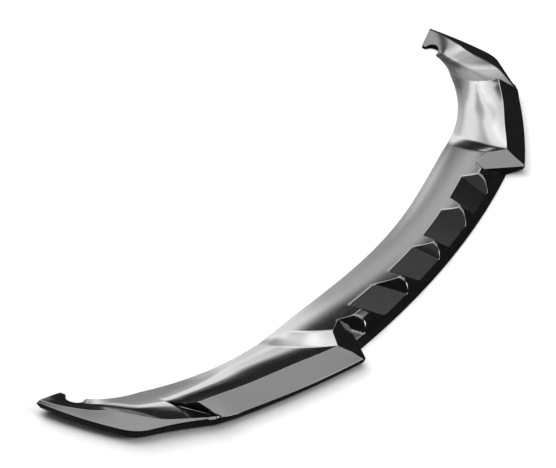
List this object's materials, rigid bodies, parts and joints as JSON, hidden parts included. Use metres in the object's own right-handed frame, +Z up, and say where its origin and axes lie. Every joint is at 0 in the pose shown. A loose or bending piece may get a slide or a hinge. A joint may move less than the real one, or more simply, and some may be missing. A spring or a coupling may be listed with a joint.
{
  "type": "front splitter lip",
  "caption": "Wide U-shaped front splitter lip in gloss black: concave rear seat, raised side blades with pointed tips, and a scooped ribbed centre that guides air under a car bumper.",
  "frame": {"origin": "centre of the lip's bounding box, on the ground plane that it rests on", "axes": "+X along the width of the car, +Y towards the rear of the car, +Z up"},
  "size_m": [1.7, 0.483, 0.041],
  "materials": {
    "gloss_black": "smooth high gloss, piano black"
  },
  "bodies": {
    "root": {"splitter_lip": "gloss_black"}
  },
  "joints": []
}
